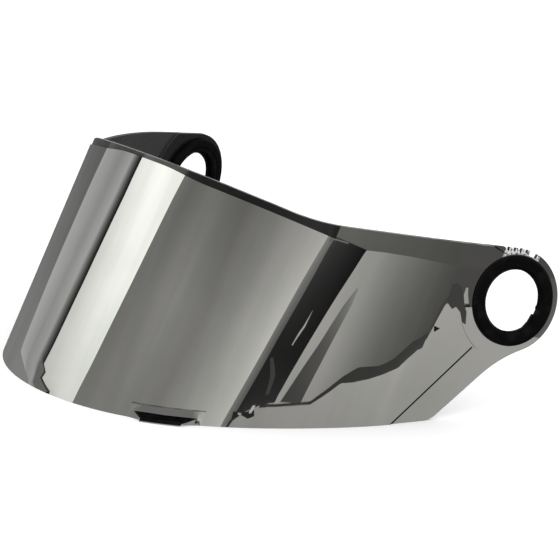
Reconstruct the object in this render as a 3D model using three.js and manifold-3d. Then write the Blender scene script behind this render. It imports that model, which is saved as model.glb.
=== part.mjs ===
// Motorcycle helmet visor: a mirror-coated polycarbonate lens bent round the face, with a black
// bearing ring clamped in each ear by a retaining ring behind it, and a black lift tab let into
// the lower edge. Millimetres, +Z up, the front towards -Y. The origin is on the floor that the
// lower edge stands on, midway between the ears and midway between the front and the rear.
import * as THREE from 'three';
import { mergeVertices } from 'three/addons/utils/BufferGeometryUtils.js';
import Module from 'manifold-3d';

const wasm = await Module();
wasm.setup();

const degree = Math.PI / 180;

// lens as a flat pattern: u runs round the face from the middle, v up along the leaning surface
const halfSpan = 191.7;
const frontHeight = 114.8;
const earHeight = 117.75;
const lensThickness = 2.0;
const leanBack = 25.4 * degree;
const bendRadius = 100;
const stationShares = [0, 0.15, 0.3, 0.45, 0.6, 0.72, 0.82];
const bendShares = [0.835, 0.99, 1.16, 0.87, 0.42, 0.61, 1.31];
const stripTurn = 2.2 * degree;
const integrationStep = 0.25;

// outline of the arm and ear
const rimRadius = 23.4;
const topEdgeAngle = 15.1 * degree;
const topFillet = 100;
const rearEdgeAngle = 60.5 * degree;
const rearEdgeInset = 17.2;
const rearFillet = 60;
const cornerFillet = 12;
const arcStep = 4 * degree;

// the ear is set back behind a moulded step so that it slides under the helmet's side cover
const stepDrop = 0.8;
const stepRadius = 27.3;
const stepFromRearEdge = 12.3;
const stepLap = 2.2;

// ratchet teeth and the locating notch on the near ear's rim, above the ring
const toothCount = 4;
const toothPitch = 8 * degree;
const toothStart = 96 * degree;
const toothDepth = 1.7;
const toothFlankShare = 0.3;
const notchStart = 82.5 * degree;
const notchEnd = 93 * degree;
const notchDepth = 2.3;

// rebate along the top edge where the helmet's seal lies
const rebateDepth = 0.6;
const rebateWidth = 2.3;
const rebateSideWidth = 3.8;
const rebateBlendStart = 12;
const rebateBlendEnd = 38;
const rebateEnd = 108.5;
const rebateEndRun = 2.4;

// bearing ring and the ring that clamps it from inside
const ringRadius = 20.4;
const ringProud = 0.5;
const flangeThickness = 1.0;
const flangeBevel = 0.4;
const flangeBevelReach = 1.2;
const boreRadius = 13.9;
const boreChamfer = 1.3;
const neckRadius = 17.2;
const counterboreRadius = 15.4;
const boreLength = 2.6;
const seatClearance = 0.3;
const clampThickness = 1.7;
const clampRadius = 21.2;
const ringSegments = 72;

// bayonet lug in the bore, tapered to its start, then a relief slot and a nib
const lugStart = -44 * degree;
const lugEnd = -8.5 * degree;
const lugHeight = 1.2;
const slotWidth = 2.0;
const slotDepth = 1.3;
const nibWidth = 6 * degree;
const nibHeight = 0.6;

// lift tab, let into a notch in the lower edge on the wearer's left
const tabMiddle = 61.6;
const tabWidth = 25.6;
const tabHeight = 2.8;
const tabFoot = 17;
const tabReach = 4;
const tabCrown = 1.2;
const tabFlangeThickness = 1.2;
const tabFlangeHeight = 6.5;
const tabRampHeight = 6.4;
const tabRampReach = 2;
const tabRampLength = 22;
const tabScoopShares = [0.85, 0.45, 1.5, 0.25];

const overrun = 3;
const weldGap = 1e-5;
const bisections = 50;

// bend line: how far each point of the flat pattern lies across and behind the front
const bend = bendTable();

function bendTable() {
  const length = halfSpan + 2 * rimRadius;
  const rows = [{ u: 0, across: 0, back: 0, turn: 0 }];
  for (let u = integrationStep; u <= length; u += integrationStep) {
    const last = rows[rows.length - 1];
    const turn = last.turn + curvature(u - integrationStep / 2) * integrationStep;
    const heading = (turn + last.turn) / 2;
    rows.push({
      u,
      across: last.across + Math.cos(heading) * integrationStep,
      back: last.back + Math.sin(heading) * integrationStep,
      turn,
    });
  }
  return rows;
}

function curvature(u) {
  const share = u / halfSpan;
  const last = stationShares.length - 1;
  if (share >= stationShares[last]) return 0;
  const i = stationShares.findIndex((s) => s > share) - 1;
  const t = (share - stationShares[i]) / (stationShares[i + 1] - stationShares[i]);
  return THREE.MathUtils.lerp(bendShares[i], bendShares[i + 1], t) / bendRadius;
}

function bendAt(u) {
  const place = Math.abs(u) / integrationStep;
  const i = Math.min(Math.floor(place), bend.length - 2);
  const t = place - i;
  const mix = (key) => THREE.MathUtils.lerp(bend[i][key], bend[i + 1][key], t);
  return { across: mix('across'), back: mix('back'), turn: mix('turn') };
}

// where the floor plane crosses the leaning surface
function floorV(u) {
  return bendAt(u).back * Math.tan(leanBack);
}

// carries a point of the flat pattern, t outwards from the outer surface, to its real place
function place(u, v, t) {
  const { across, back, turn } = bendAt(u);
  const side = u < 0 ? -1 : 1;
  const deep = back - t * Math.cos(turn);
  return new THREE.Vector3(
    side * (across + t * Math.sin(turn)),
    deep * Math.cos(leanBack) + v * Math.sin(leanBack),
    -deep * Math.sin(leanBack) + v * Math.cos(leanBack),
  );
}

// the sheet is straight from here back to the ear
function flatStart() {
  return stationShares[stationShares.length - 1] * halfSpan;
}

// stations where the flat sheet is creased, a fixed turn apart
function creaseLines() {
  const lines = [0];
  let next = stripTurn;
  for (const row of bend) {
    if (row.turn >= next) {
      lines.push(row.u);
      next += stripTurn;
    }
  }
  lines.push(flatStart());
  return lines.flatMap((u) => (u > 0 ? [-u, u] : [u])).sort((a, b) => a - b);
}

// closed three.js geometry to a solid, and back
function toSolid(geometry) {
  const bare = geometry.clone();
  bare.deleteAttribute('normal');
  bare.deleteAttribute('uv');
  const merged = mergeVertices(bare, weldGap);
  const triVerts = merged.index
    ? new Uint32Array(merged.index.array)
    : Uint32Array.from({ length: merged.attributes.position.count }, (_, i) => i);
  const vertProperties = new Float32Array(merged.attributes.position.array);
  return new wasm.Manifold(new wasm.Mesh({ numProp: 3, vertProperties, triVerts }));
}

function toGeometry(solid) {
  const mesh = solid.getMesh();
  const geometry = new THREE.BufferGeometry();
  geometry.setAttribute('position', new THREE.BufferAttribute(new Float32Array(mesh.vertProperties), 3));
  geometry.setIndex(new THREE.BufferAttribute(new Uint32Array(mesh.triVerts), 1));
  return geometry;
}

// flat slab of an outline between two depths, t along its third axis
function slab(points, low, high) {
  const geometry = new THREE.ExtrudeGeometry(new THREE.Shape(points), {
    depth: high - low,
    bevelEnabled: false,
    curveSegments: 1,
  });
  geometry.translate(0, 0, low);
  return toSolid(geometry);
}

function polarPoint(centre, radius, angle) {
  return new THREE.Vector2(
    centre.x + radius * Math.cos(angle),
    centre.y + radius * Math.sin(angle),
  );
}

function arcPoints(centre, radius, from, to) {
  const count = Math.max(1, Math.ceil(Math.abs(to - from) / arcStep));
  const points = [];
  for (let i = 0; i <= count; i += 1) {
    points.push(polarPoint(centre, radius, THREE.MathUtils.lerp(from, to, i / count)));
  }
  return points;
}

const mirrored = (points) => points.map((p) => new THREE.Vector2(-p.x, p.y)).reverse();

// cuts the triangles of a flat solid at the crease lines and bends it to its real shape
function bent(solid) {
  const mesh = solid.getMesh();
  const corners = Array.from(mesh.triVerts, (i) => {
    const p = mesh.vertProperties.subarray(i * mesh.numProp, i * mesh.numProp + 3);
    return new THREE.Vector3(p[0], p[1], p[2]);
  });
  let faces = [];
  for (let i = 0; i < corners.length; i += 3) faces.push(corners.slice(i, i + 3));
  for (const line of creaseLines()) faces = faces.flatMap((face) => splitFace(face, line));
  const positions = faces.flatMap((face) => face.flatMap((p) => place(p.x, p.y, p.z).toArray()));
  const geometry = new THREE.BufferGeometry();
  geometry.setAttribute('position', new THREE.Float32BufferAttribute(positions, 3));
  return toSolid(geometry);
}

function splitFace(face, line) {
  const sides = face.map((p) => Math.sign(p.x - line));
  if (!sides.includes(1) || !sides.includes(-1)) return [face];
  const before = [];
  const after = [];
  face.forEach((p, i) => {
    const q = face[(i + 1) % 3];
    if (sides[i] <= 0) before.push(p);
    if (sides[i] >= 0) after.push(p);
    if (sides[i] * sides[(i + 1) % 3] < 0) {
      const [a, b] = sides[i] < 0 ? [p, q] : [q, p];
      const cut = a.clone().lerp(b, (line - a.x) / (b.x - a.x));
      cut.x = line;
      before.push(cut);
      after.push(cut);
    }
  });
  return [before, after].flatMap((ring) => ring.slice(2).map((p, i) => [ring[0], ring[i + 1], p]));
}

const ear = new THREE.Vector2(halfSpan, earHeight);

// the top edge: level over the face, an arc, then a straight line that touches the ear's rim
const edgeTouch = new THREE.Vector2(
  ear.x - rimRadius * Math.sin(topEdgeAngle),
  ear.y + rimRadius * Math.cos(topEdgeAngle),
);
const edgeKnee = edgeTouch.x - (edgeTouch.y - frontHeight) / Math.tan(topEdgeAngle);
const kneeStart = edgeKnee - topFillet * Math.tan(topEdgeAngle / 2);
const kneeEnd = kneeStart + topFillet * Math.sin(topEdgeAngle);

function topV(u) {
  const far = Math.abs(u);
  if (far <= kneeStart) return frontHeight;
  if (far >= kneeEnd) return edgeTouch.y - (edgeTouch.x - far) * Math.tan(topEdgeAngle);
  return frontHeight + topFillet - Math.sqrt(topFillet ** 2 - (far - kneeStart) ** 2);
}

// lower edge of the seal's rebate, and how deep the rebate is there
function rebateV(u) {
  const blend = THREE.MathUtils.smoothstep(Math.abs(u), rebateBlendStart, rebateBlendEnd);
  return frontHeight - THREE.MathUtils.lerp(rebateWidth, rebateSideWidth, blend);
}

function rebateAt(u) {
  const share = (Math.abs(u) - rebateEnd) / rebateEndRun;
  return rebateDepth * (1 - THREE.MathUtils.clamp(share, 0, 1));
}

// section of the bent sheet at one station, clockwise in (v, t)
function sheetSection(u) {
  const foot = floorV(u) - overrun;
  const step = rebateV(u);
  const sunk = -rebateAt(u);
  return [
    [foot, 0], [step, 0], [step, sunk],
    [topV(u), sunk], [topV(u), -lensThickness], [foot, -lensThickness],
  ].map(([v, t]) => place(u, v, t));
}

// sheet of constant thickness from ear to ear, lofted through its stations
function bentSheet() {
  const ends = [-ear.x, ear.x];
  const rebateStations = [rebateEnd, rebateEnd + rebateEndRun].flatMap((u) => [-u, u]);
  const stations = [...creaseLines(), ...rebateStations, ...ends].sort((p, q) => p - q);
  const rings = stations.map(sheetSection);
  const count = rings[0].length;
  const positions = [];
  const addFace = (...corners) => {
    const flat = corners.some((p, i) => p.equals(corners[(i + 1) % corners.length]));
    if (!flat) positions.push(...corners.flatMap((p) => p.toArray()));
  };
  for (let s = 0; s + 1 < rings.length; s += 1) {
    for (let i = 0; i < count; i += 1) {
      const j = (i + 1) % count;
      addFace(rings[s][i], rings[s + 1][i], rings[s + 1][j]);
      addFace(rings[s][i], rings[s + 1][j], rings[s][j]);
    }
  }
  for (const [ring, flip] of [[rings[0], false], [rings[rings.length - 1], true]]) {
    for (let i = 1; i + 1 < count; i += 1) {
      if (flip) addFace(ring[0], ring[i + 1], ring[i]);
      else addFace(ring[0], ring[i], ring[i + 1]);
    }
  }
  const geometry = new THREE.BufferGeometry();
  geometry.setAttribute('position', new THREE.Float32BufferAttribute(positions, 3));
  return toSolid(geometry);
}

// point at a distance along the rear edge's direction and square to it, from the ear's centre
function fromRearEdge(square, along) {
  return new THREE.Vector2(
    ear.x + square * Math.sin(rearEdgeAngle) - along * Math.cos(rearEdgeAngle),
    ear.y - square * Math.cos(rearEdgeAngle) - along * Math.sin(rearEdgeAngle),
  );
}

// where a line parallel to the rear edge, square to it by the given inset, meets the floor
function floorCrossing(square) {
  let low = 0;
  let high = 2 * earHeight;
  for (let i = 0; i < bisections; i += 1) {
    const middle = (low + high) / 2;
    const p = fromRearEdge(square, middle);
    if (p.y > floorV(p.x)) low = middle;
    else high = middle;
  }
  return fromRearEdge(square, low);
}

// outline from the middle along the floor, round the ear by its rim and back along the top edge
function armOutline(rim) {
  const middle = Math.min(0, kneeStart);
  const corner = floorCrossing(rearEdgeInset);
  const floorAngle = Math.atan(Math.sin(bendAt(corner.x).turn) * Math.tan(leanBack));
  const trim = cornerFillet * Math.tan((rearEdgeAngle - floorAngle) / 2);
  const foot = new THREE.Vector2(corner.x - trim * Math.cos(floorAngle), 0);
  foot.y = floorV(foot.x);
  const points = [
    new THREE.Vector2(middle, -overrun),
    new THREE.Vector2(foot.x, foot.y - overrun),
  ];
  const footCentre = new THREE.Vector2(
    foot.x - cornerFillet * Math.sin(floorAngle),
    foot.y + cornerFillet * Math.cos(floorAngle),
  );
  points.push(...arcPoints(footCentre, cornerFillet, floorAngle - 90 * degree, rearEdgeAngle - 90 * degree));

  const along = Math.sqrt((rimRadius + rearFillet) ** 2 - (rearEdgeInset + rearFillet) ** 2);
  const filletCentre = fromRearEdge(rearEdgeInset + rearFillet, along);
  const toEar = Math.atan2(ear.y - filletCentre.y, ear.x - filletCentre.x);
  points.push(...arcPoints(filletCentre, rearFillet, rearEdgeAngle + 90 * degree, toEar));

  points.push(...rim(toEar - 180 * degree).slice(1));
  const kneeCentre = new THREE.Vector2(kneeStart, frontHeight + topFillet);
  points.push(...arcPoints(kneeCentre, topFillet, topEdgeAngle - 90 * degree, -90 * degree));
  points.push(new THREE.Vector2(middle, frontHeight));
  return points;
}

// the wearer's right ear has a plain rim
function plainRim(from) {
  return arcPoints(ear, rimRadius, from, 90 * degree + topEdgeAngle);
}

// the left ear's rim has the notch and the teeth
function toothedRim(from) {
  return [
    ...arcPoints(ear, rimRadius, from, notchStart),
    ...arcPoints(ear, rimRadius - notchDepth, notchStart, notchEnd),
    ...arcPoints(ear, rimRadius, notchEnd, toothStart),
    ...toothPoints(),
  ];
}

// height of the ear's top edge over the ring's centre, measured along a ray at an angle
function rimReach(angle) {
  const flat = rimRadius / Math.cos(angle - 90 * degree - topEdgeAngle);
  return angle > 90 * degree + topEdgeAngle ? flat : rimRadius;
}

// ratchet teeth with one steep and one sloping flank
function toothPoints() {
  const points = [];
  const at = (angle, depth) => new THREE.Vector2(
    ear.x + (rimReach(angle) - depth) * Math.cos(angle),
    ear.y + (rimReach(angle) - depth) * Math.sin(angle),
  );
  for (let i = 0; i < toothCount; i += 1) {
    const start = toothStart + i * toothPitch;
    points.push(at(start + toothPitch * toothFlankShare / 2, toothDepth));
    points.push(at(start + toothPitch * toothFlankShare, toothDepth));
    points.push(at(start + toothPitch * (1 - toothFlankShare), 0));
    points.push(at(start + toothPitch, 0));
  }
  return points;
}

// region behind the moulded step, widened forwards by lap
function stepRegion(lap) {
  const square = rearEdgeInset - stepFromRearEdge - lap;
  const radius = stepRadius + lap;
  const along = Math.sqrt(radius ** 2 - square ** 2);
  const foot = floorCrossing(square);
  const corner = fromRearEdge(square, along);
  const from = Math.atan2(corner.y - ear.y, corner.x - ear.x);
  const to = -360 * degree + 90 * degree + topEdgeAngle;
  const beyond = 2 * rimRadius;
  return [
    new THREE.Vector2(foot.x - overrun, foot.y - 2 * overrun),
    ...arcPoints(ear, radius, from, to),
    new THREE.Vector2(ear.x, ear.y + beyond),
    new THREE.Vector2(ear.x + beyond, ear.y + beyond),
    new THREE.Vector2(ear.x + beyond, foot.y - 2 * overrun),
  ];
}

// notch in the lower edge that takes the lift tab, wider at the top than at the foot
function tabNotch(grow) {
  const flank = Math.atan2(tabHeight, (tabWidth - tabFoot) / 2);
  const foot = tabFoot / 2 + grow / Math.sin(flank);
  const top = foot + (tabHeight + grow) / Math.tan(flank);
  const level = (u) => floorV(tabMiddle + u);
  return [
    new THREE.Vector2(tabMiddle - foot, level(-foot) - 2 * overrun),
    new THREE.Vector2(tabMiddle + foot, level(foot) - 2 * overrun),
    new THREE.Vector2(tabMiddle + foot, level(foot)),
    new THREE.Vector2(tabMiddle + top, level(top) + tabHeight + grow),
    new THREE.Vector2(tabMiddle, level(0) + tabHeight + grow),
    new THREE.Vector2(tabMiddle - top, level(-top) + tabHeight + grow),
    new THREE.Vector2(tabMiddle - foot, level(-foot)),
  ];
}

// bar with a section given as (v above the floor line, t), run along the lower edge at the tab
function edgeBar(section, length) {
  const geometry = new THREE.ExtrudeGeometry(new THREE.Shape(section), {
    depth: length,
    bevelEnabled: false,
    curveSegments: 1,
  });
  const slope = Math.atan2(
    floorV(tabMiddle + length / 2) - floorV(tabMiddle - length / 2),
    length,
  );
  const along = new THREE.Vector3(Math.cos(slope), Math.sin(slope), 0);
  const up = new THREE.Vector3(-Math.sin(slope), Math.cos(slope), 0);
  const out = new THREE.Vector3(0, 0, 1);
  geometry.translate(0, 0, -length / 2);
  geometry.applyMatrix4(new THREE.Matrix4().makeBasis(up, out, along));
  geometry.translate(tabMiddle, floorV(tabMiddle), 0);
  return toSolid(geometry);
}

// ring about the ear's axis from a closed section of (radius, t) points
function turned(section) {
  const points = section.map(([radius, t]) => new THREE.Vector2(radius, t));
  points.push(points[0].clone());
  const geometry = new THREE.LatheGeometry(points, ringSegments);
  geometry.rotateX(90 * degree);
  geometry.translate(ear.x, ear.y, 0);
  return toSolid(geometry);
}

// cuts away what lies below the floor
function trimmed(solid) {
  const size = 4 * halfSpan;
  const block = new THREE.BoxGeometry(size, size, size);
  block.translate(0, 0, -size / 2);
  return solid.subtract(toSolid(block));
}

// the sheet in front of the moulded step, the plates behind it, and what is cut from them
function lensShell() {
  const behind = stepRegion(0);
  const lapped = stepRegion(stepLap);
  const deepest = -lensThickness - stepDrop;
  const through = [deepest - overrun, overrun];
  const sides = [
    { hand: (points) => points, arm: armOutline(toothedRim) },
    { hand: mirrored, arm: armOutline(plainRim) },
  ];
  let solid = bentSheet();
  for (const { hand } of sides) solid = solid.subtract(bent(slab(hand(behind), ...through)));
  const hole = arcPoints(ear, neckRadius + seatClearance, 0, 360 * degree).slice(0, -1);
  for (const { hand, arm } of sides) {
    const plate = slab(hand(arm), deepest, -stepDrop)
      .intersect(slab(hand(lapped), ...through))
      .subtract(slab(hand(hole), ...through));
    solid = solid.add(bent(plate));
  }
  solid = solid.add(bent(edgeBar([
    new THREE.Vector2(0, -lensThickness / 2),
    new THREE.Vector2(tabRampHeight, -lensThickness / 2),
    new THREE.Vector2(tabRampHeight, 0),
    new THREE.Vector2(tabHeight, tabRampReach),
    new THREE.Vector2(0, tabRampReach),
  ], tabRampLength)));
  solid = solid.subtract(bent(slab(tabNotch(seatClearance), deepest - overrun, 2 * overrun)));
  return trimmed(solid);
}

// black insert: a scooped lip outside, a body in the notch and a flange bonded inside
function liftTab() {
  const inner = -lensThickness - seatClearance;
  const back = inner - tabFlangeThickness;
  const lip = edgeBar([
    new THREE.Vector2(-2 * overrun, back),
    new THREE.Vector2(tabHeight, back),
    new THREE.Vector2(tabHeight, tabCrown),
    new THREE.Vector2(tabHeight * tabScoopShares[0], tabCrown),
    new THREE.Vector2(tabHeight * tabScoopShares[1], tabCrown * tabScoopShares[2]),
    new THREE.Vector2(tabHeight * tabScoopShares[3], tabReach),
    new THREE.Vector2(-2 * overrun, tabReach),
  ], tabWidth);
  const body = lip.intersect(slab(tabNotch(0), back - overrun, 2 * overrun));
  const flange = edgeBar([
    new THREE.Vector2(-2 * overrun, back),
    new THREE.Vector2(tabFlangeHeight, back),
    new THREE.Vector2(tabFlangeHeight, inner),
    new THREE.Vector2(-2 * overrun, inner),
  ], tabWidth + tabFlangeHeight);
  return trimmed(bent(body.add(flange)));
}

// flange outside, neck through the ear, bore for the helmet's boss and a wider mouth inside
function pivotRing() {
  const front = ringProud;
  const seat = front - flangeThickness;
  const backEnd = clampBack();
  const boreEnd = front - boreLength;
  const body = turned([
    [boreRadius + boreChamfer, front],
    [boreRadius, front - boreChamfer],
    [boreRadius, boreEnd],
    [counterboreRadius, boreEnd],
    [counterboreRadius, backEnd],
    [neckRadius, backEnd],
    [neckRadius, seat],
    [ringRadius, seat],
    [ringRadius, front - flangeBevel],
    [ringRadius - flangeBevelReach, front],
  ]);
  const seated = boreRadius + seatClearance;
  const lug = [
    ...arcPoints(ear, seated, lugStart, lugEnd),
    polarPoint(ear, boreRadius - lugHeight, lugEnd),
    polarPoint(ear, boreRadius - lugHeight / 2, (lugStart + lugEnd) / 2),
  ];
  const slotHalf = slotWidth / 2;
  const reach = boreRadius + slotDepth;
  const slotAt = lugEnd + Math.asin(slotWidth / boreRadius);
  const nibStart = slotAt + Math.asin(slotHalf / boreRadius);
  const nib = [
    ...arcPoints(ear, seated, nibStart, nibStart + nibWidth),
    ...arcPoints(ear, boreRadius - nibHeight, nibStart + nibWidth, nibStart),
  ];
  const slot = [[0, -slotHalf], [reach, -slotHalf], [reach, slotHalf], [0, slotHalf]].map(
    ([x, y]) => new THREE.Vector2(x, y).rotateAround(new THREE.Vector2(), slotAt).add(ear),
  );
  const web = [boreEnd, front - boreChamfer];
  return bent(body
    .subtract(slab(slot, boreEnd - overrun, front + overrun))
    .add(slab(lug, ...web))
    .add(slab(nib, ...web)));
}

function clampFront() {
  return -lensThickness - stepDrop - seatClearance;
}

function clampBack() {
  return clampFront() - clampThickness;
}

// ring behind the ear, pressed on the neck; its edge is bevelled on the helmet's side
function retainingRing() {
  const inner = neckRadius + seatClearance;
  return bent(turned([
    [inner, clampFront()],
    [inner, clampBack()],
    [clampRadius - flangeBevel, clampBack()],
    [clampRadius, clampBack() + flangeBevel],
    [clampRadius, clampFront()],
  ]));
}

// the same piece for the other ear
function otherHand(geometry) {
  const copy = geometry.clone();
  const { position } = copy.attributes;
  for (let i = 0; i < position.count; i += 1) position.setX(i, -position.getX(i));
  const index = Array.from(copy.index.array);
  for (let i = 0; i < index.length; i += 3) [index[i], index[i + 1]] = [index[i + 1], index[i]];
  copy.setIndex(index);
  return copy;
}

const mirrorCoat = new THREE.MeshStandardMaterial({ color: 0xb4b4b0, metalness: 1, roughness: 0.06 });
const blackPlastic = new THREE.MeshStandardMaterial({ color: 0x0c0c0c, metalness: 0, roughness: 0.35 });
const blackClamp = new THREE.MeshStandardMaterial({ color: 0x161616, metalness: 0, roughness: 0.5 });

const visor = new THREE.Group();

function addPiece(name, geometry, material) {
  geometry.computeVertexNormals();
  const mesh = new THREE.Mesh(geometry, material);
  mesh.name = name;
  visor.add(mesh);
}

addPiece('lens_shell', toGeometry(lensShell()), mirrorCoat);
addPiece('lift_tab', toGeometry(liftTab()), blackPlastic);
const ring = toGeometry(pivotRing());
const clamp = toGeometry(retainingRing());
addPiece('left_pivot_ring', ring, blackPlastic);
addPiece('left_retaining_ring', clamp, blackClamp);
addPiece('right_pivot_ring', otherHand(ring), blackPlastic);
addPiece('right_retaining_ring', otherHand(clamp), blackClamp);

const extent = new THREE.Box3().setFromObject(visor);
visor.position.y = -(extent.min.y + extent.max.y) / 2;

export default visor;
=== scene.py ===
import math
import bpy
from mathutils import Matrix, Vector


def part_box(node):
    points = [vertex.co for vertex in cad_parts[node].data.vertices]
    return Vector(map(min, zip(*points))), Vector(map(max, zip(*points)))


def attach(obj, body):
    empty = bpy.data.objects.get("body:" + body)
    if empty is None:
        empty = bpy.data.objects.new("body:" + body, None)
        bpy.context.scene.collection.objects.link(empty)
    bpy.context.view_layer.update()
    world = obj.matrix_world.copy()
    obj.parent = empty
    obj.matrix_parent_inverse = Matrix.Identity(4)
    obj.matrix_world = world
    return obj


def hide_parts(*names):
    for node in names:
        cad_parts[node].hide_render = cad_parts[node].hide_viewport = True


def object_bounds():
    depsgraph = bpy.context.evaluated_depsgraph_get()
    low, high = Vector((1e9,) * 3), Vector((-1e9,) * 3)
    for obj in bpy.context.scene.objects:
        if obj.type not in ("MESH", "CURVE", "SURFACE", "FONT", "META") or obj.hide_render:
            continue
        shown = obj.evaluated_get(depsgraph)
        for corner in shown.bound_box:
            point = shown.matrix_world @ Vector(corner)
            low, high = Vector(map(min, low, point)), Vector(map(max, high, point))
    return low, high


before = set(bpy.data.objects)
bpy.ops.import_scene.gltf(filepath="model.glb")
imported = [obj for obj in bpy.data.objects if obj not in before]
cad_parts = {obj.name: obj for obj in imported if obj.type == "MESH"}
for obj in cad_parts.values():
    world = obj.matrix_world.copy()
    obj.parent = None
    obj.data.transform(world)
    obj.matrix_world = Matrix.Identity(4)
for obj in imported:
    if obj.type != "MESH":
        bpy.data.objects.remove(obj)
cadBox = [list(corner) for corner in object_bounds()]
bpy.ops.object.select_all(action="DESELECT")

mm = 0.001
deg = math.pi / 180
tiny = 1e-7  # points this close are one

# the lens as a flat pattern in mm: u runs round the face, v up the leaning surface, t outwards
pattern = {
    "halfSpan": 191.7,
    "frontHeight": 114.8,
    "earHeight": 117.75,
    "thickness": 2.0,
    "lean": 25.4 * deg,
    "bendRadius": 100,
    "stationShares": [0, 0.15, 0.3, 0.45, 0.6, 0.72, 0.82],
    "bendShares": [0.835, 0.99, 1.16, 0.87, 0.42, 0.61, 1.31],
    "rowStep": 0.25,
    "rimRadius": 23.4,
    "topEdgeAngle": 15.1 * deg,
    "topFillet": 100,
    "rearEdgeAngle": 60.5 * deg,
    "rearEdgeInset": 17.2,
    "rearFillet": 60,
    "cornerFillet": 12,
    "stepDrop": 0.8,
    "stepRadius": 27.3,
    "stepFromRearEdge": 12.3,
    "stepLap": 2.2,
    "stepTilt": (-1.1, 0.35),
}
topAngle, topFillet = pattern["topEdgeAngle"], pattern["topFillet"]
frontHeight, rimRadius = pattern["frontHeight"], pattern["rimRadius"]
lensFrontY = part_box("lens_shell")[0].y / mm


def curvatureAt(u):
    shares, bends = pattern["stationShares"], pattern["bendShares"]
    share = u / pattern["halfSpan"]
    if share >= shares[-1]:
        return 0
    i = max(k for k, s in enumerate(shares) if s <= share)
    t = (share - shares[i]) / (shares[i + 1] - shares[i])
    return (bends[i] * (1 - t) + bends[i + 1] * t) / pattern["bendRadius"]


def makeBendRows():
    step = pattern["rowStep"]
    rows = [(0, 0, 0)]
    for k in range(1, int((pattern["halfSpan"] + 2 * rimRadius) / step) + 1):
        across, back, turn = rows[-1]
        newTurn = turn + curvatureAt((k - 0.5) * step) * step
        heading = (turn + newTurn) / 2
        rows.append((across + math.cos(heading) * step, back + math.sin(heading) * step, newTurn))
    return rows


bendRows = makeBendRows()


def bendAt(u):
    place = abs(u) / pattern["rowStep"]
    i = min(int(place), len(bendRows) - 2)
    t = place - i
    return [a * (1 - t) + b * t for a, b in zip(bendRows[i], bendRows[i + 1])]


def bentPoint(u, v, t):
    across, back, turn = bendAt(u)
    side = -1 if u < 0 else 1
    lean = pattern["lean"]
    deep = back - t * math.cos(turn)
    return Vector((
        side * (across + t * math.sin(turn)),
        lensFrontY + deep * math.cos(lean) + v * math.sin(lean),
        -deep * math.sin(lean) + v * math.cos(lean),
    )) * mm


def floorV(u, t=0):
    back, turn = bendAt(u)[1:]
    return (back - t * math.cos(turn)) * math.tan(pattern["lean"])


ear = Vector((pattern["halfSpan"], pattern["earHeight"]))
flatStart = pattern["stationShares"][-1] * pattern["halfSpan"]
edgeTouch = ear + rimRadius * Vector((-math.sin(topAngle), math.cos(topAngle)))
kneeStart = edgeTouch.x - (edgeTouch.y - frontHeight) / math.tan(topAngle)
kneeStart -= topFillet * math.tan(topAngle / 2)
kneeEnd = kneeStart + topFillet * math.sin(topAngle)


def topV(u):
    far = abs(u)
    if far <= kneeStart:
        return frontHeight
    if far >= kneeEnd:
        return edgeTouch.y - (edgeTouch.x - far) * math.tan(topAngle)
    return frontHeight + topFillet - math.sqrt(topFillet ** 2 - (far - kneeStart) ** 2)


def only(obj):
    bpy.ops.object.select_all(action="DESELECT")
    obj.select_set(True)
    bpy.context.view_layer.objects.active = obj


def editing(obj, *steps):
    only(obj)
    bpy.ops.object.mode_set(mode="EDIT")
    for step in steps:
        step()
    bpy.ops.object.mode_set(mode="OBJECT")


def selectAll():
    bpy.ops.mesh.select_all(action="SELECT")


def outwards():
    selectAll()
    bpy.ops.mesh.normals_make_consistent(inside=False)


def welded(distance=tiny):
    selectAll()
    bpy.ops.mesh.remove_doubles(threshold=distance)


def applied(obj, kind, **settings):
    only(obj)
    modifier = obj.modifiers.new(kind.lower(), kind)
    for key, value in settings.items():
        setattr(modifier, key, value)
    bpy.ops.object.modifier_apply(modifier=modifier.name)


def combined(obj, tool, operation):
    applied(obj, "BOOLEAN", object=tool, operation=operation, solver="EXACT")
    bpy.data.objects.remove(tool)


def rounded(obj, width, segments, fromAngle):
    applied(obj, "BEVEL", width=width * mm, segments=segments, limit_method="ANGLE",
            angle_limit=fromAngle, use_clamp_overlap=True)


# a flat outline in the pattern, given depth from low to high
def prism(outline, low, high):
    bpy.ops.mesh.primitive_circle_add(vertices=len(outline), radius=mm, fill_type="NGON")
    obj = bpy.context.object
    for vertex, point in zip(obj.data.vertices, outline):
        vertex.co = (point[0] * mm, point[1] * mm, low * mm)
    editing(
        obj,
        selectAll,
        lambda: bpy.ops.mesh.extrude_region_move(
            TRANSFORM_OT_translate={"value": (0, 0, (high - low) * mm)}),
        outwards,
    )
    return obj


def polar(radius, angle):
    return ear + radius * Vector((math.cos(angle), math.sin(angle)))


def arc(centre, radius, start, end, step=2 * deg):
    count = max(1, math.ceil(abs(end - start) / step))
    return [
        Vector((
            centre[0] + radius * math.cos(start + (end - start) * k / count),
            centre[1] + radius * math.sin(start + (end - start) * k / count),
        ))
        for k in range(count + 1)
    ]


def handed(outline, side):
    return outline if side > 0 else [Vector((-p[0], p[1])) for p in reversed(outline)]


print("pattern ready")

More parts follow.
